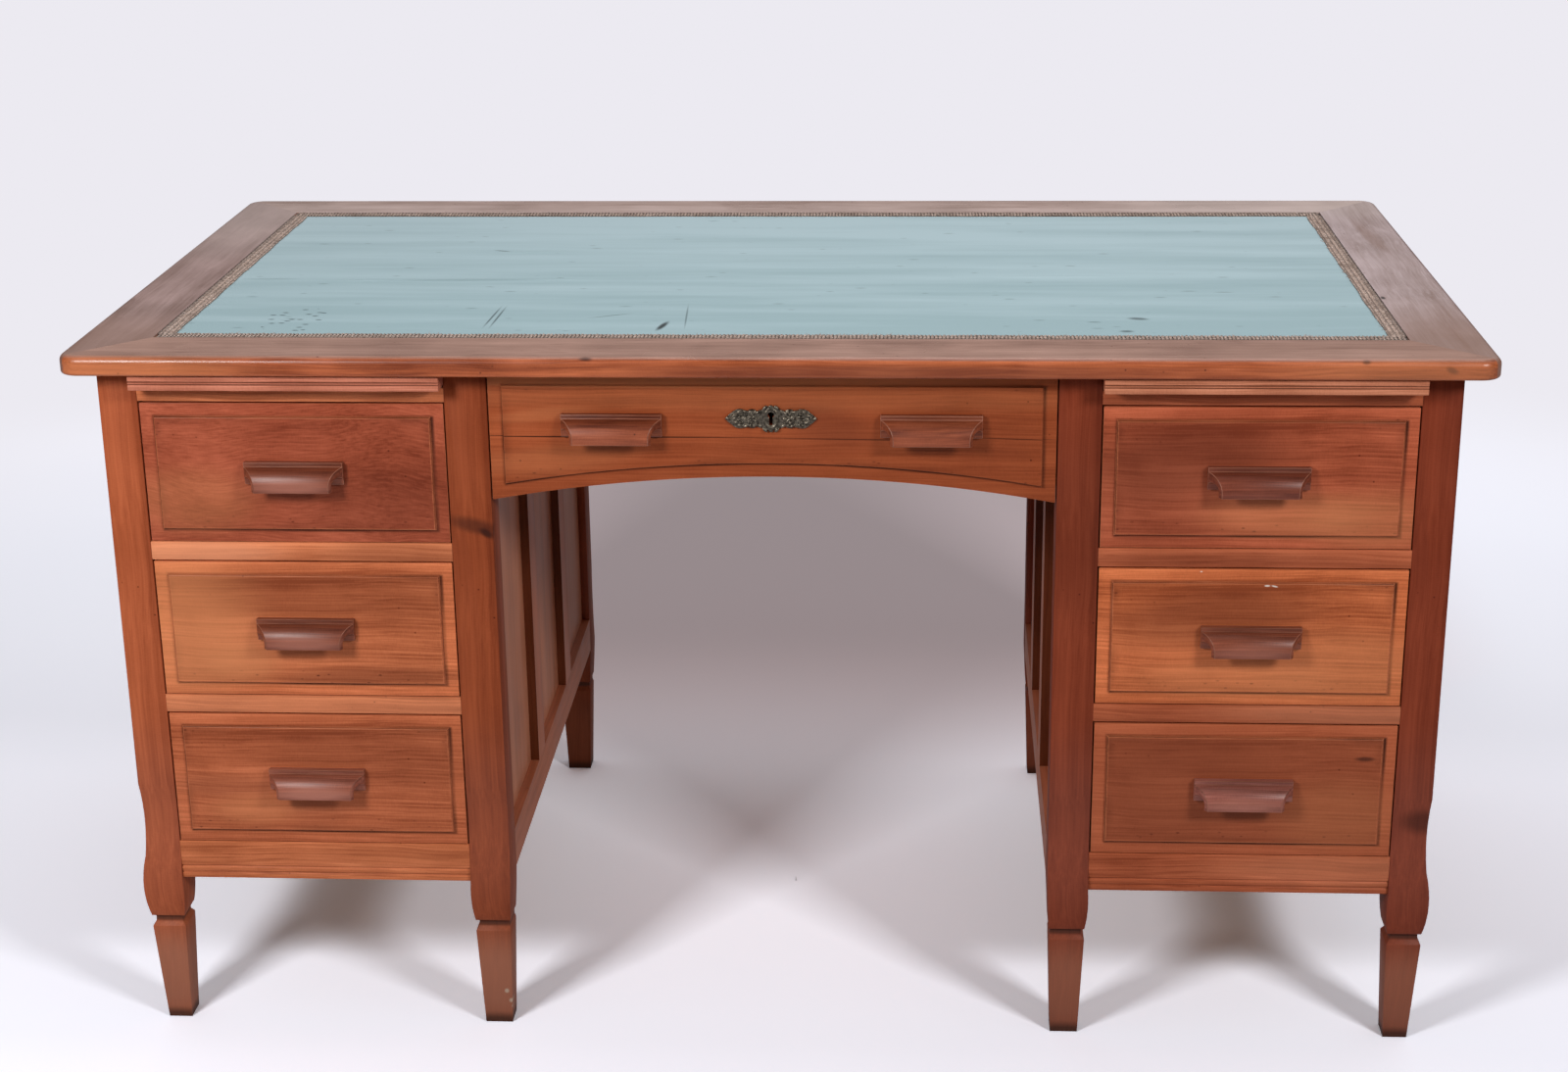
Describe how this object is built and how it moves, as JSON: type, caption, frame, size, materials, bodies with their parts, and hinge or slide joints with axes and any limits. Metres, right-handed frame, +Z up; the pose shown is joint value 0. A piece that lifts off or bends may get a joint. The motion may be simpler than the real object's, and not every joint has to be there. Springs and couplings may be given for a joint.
{
  "type": "office desk",
  "caption": "Wooden pedestal desk with an inset leathercloth top, raised-field drawers with moulded wooden pulls, an arched centre drawer with a lock, and pull-out writing slides.",
  "frame": {"origin": "on the floor under the middle of the desk", "axes": "+X to the sitter's right along the length, +Y towards the back, +Z up"},
  "size_m": [1.46, 0.8, 0.7804],
  "materials": {
    "show_wood": "satin varnish",
    "top_wood": "worn varnish",
    "pull_wood": "satin varnish",
    "inner_wood": "bare",
    "leathercloth": "worn matt",
    "braid": "woven",
    "bronze": "dark patina",
    "steel": "plain"
  },
  "bodies": {
    "frame": {"top_front_rail": "top_wood", "top_back_rail": "top_wood", "top_left_rail": "top_wood", "top_right_rail": "top_wood", "top_core_board": "inner_wood", "writing_surface": "leathercloth", "edge_braid": "braid", "left_outer_front_post": "show_wood", "left_inner_front_post": "show_wood", "left_outer_back_post": "show_wood", "left_inner_back_post": "show_wood", "left_outer_side_frame": "show_wood", "left_outer_side_panels": "show_wood", "left_inner_side_frame": "show_wood", "left_inner_side_panels": "show_wood", "left_back_frame": "show_wood", "left_front_rails": "show_wood", "right_outer_front_post": "show_wood", "right_inner_front_post": "show_wood", "right_outer_back_post": "show_wood", "right_inner_back_post": "show_wood", "right_outer_side_frame": "show_wood", "right_outer_side_panels": "show_wood", "right_inner_side_frame": "show_wood", "right_inner_side_panels": "show_wood", "right_back_frame": "show_wood", "right_front_rails": "show_wood", "back_panels": "show_wood", "kneehole_back_apron": "show_wood", "drawer_runners": "inner_wood", "centre_drawer_runners": "inner_wood", "top_screws": "steel"},
    "left_slide": {"left_slide_board": "inner_wood", "left_slide_lip": "show_wood"},
    "left_bottom_drawer": {"left_bottom_drawer_front": "show_wood", "left_bottom_drawer_box": "inner_wood", "left_bottom_drawer_pull": "pull_wood"},
    "left_middle_drawer": {"left_middle_drawer_front": "show_wood", "left_middle_drawer_box": "inner_wood", "left_middle_drawer_pull": "pull_wood"},
    "left_top_drawer": {"left_top_drawer_front": "show_wood", "left_top_drawer_box": "inner_wood", "left_top_drawer_pull": "pull_wood"},
    "right_slide": {"right_slide_board": "inner_wood", "right_slide_lip": "show_wood"},
    "right_bottom_drawer": {"right_bottom_drawer_front": "show_wood", "right_bottom_drawer_box": "inner_wood", "right_bottom_drawer_pull": "pull_wood"},
    "right_middle_drawer": {"right_middle_drawer_front": "show_wood", "right_middle_drawer_box": "inner_wood", "right_middle_drawer_pull": "pull_wood"},
    "right_top_drawer": {"right_top_drawer_front": "show_wood", "right_top_drawer_box": "inner_wood", "right_top_drawer_pull": "pull_wood"},
    "centre_drawer": {"centre_drawer_front": "show_wood", "centre_drawer_box": "inner_wood", "centre_drawer_pulls": "pull_wood", "escutcheon": "bronze", "lock_case": "steel"},
    "lock_bolt": {"lock_bolt": "steel"}
  },
  "joints": [
    {"name": "left_writing_slide", "type": "slide", "parent": "frame", "child": "left_slide", "axis": [0, -1, 0], "range_m": [0, 0.32]},
    {"name": "left_bottom_drawer_slide", "type": "slide", "parent": "frame", "child": "left_bottom_drawer", "axis": [0, -1, 0], "range_m": [0, 0.42]},
    {"name": "left_middle_drawer_slide", "type": "slide", "parent": "frame", "child": "left_middle_drawer", "axis": [0, -1, 0], "range_m": [0, 0.42]},
    {"name": "left_top_drawer_slide", "type": "slide", "parent": "frame", "child": "left_top_drawer", "axis": [0, -1, 0], "range_m": [0, 0.42]},
    {"name": "right_writing_slide", "type": "slide", "parent": "frame", "child": "right_slide", "axis": [0, -1, 0], "range_m": [0, 0.32]},
    {"name": "right_bottom_drawer_slide", "type": "slide", "parent": "frame", "child": "right_bottom_drawer", "axis": [0, -1, 0], "range_m": [0, 0.42]},
    {"name": "right_middle_drawer_slide", "type": "slide", "parent": "frame", "child": "right_middle_drawer", "axis": [0, -1, 0], "range_m": [0, 0.42]},
    {"name": "right_top_drawer_slide", "type": "slide", "parent": "frame", "child": "right_top_drawer", "axis": [0, -1, 0], "range_m": [0, 0.42]},
    {"name": "centre_drawer_slide", "type": "slide", "parent": "frame", "child": "centre_drawer", "axis": [0, -1, 0], "range_m": [0, 0.4]},
    {"name": "lock_bolt_slide", "type": "slide", "parent": "centre_drawer", "child": "lock_bolt", "axis": [0, 0, 1], "range_m": [0, 0.008]}
  ]
}
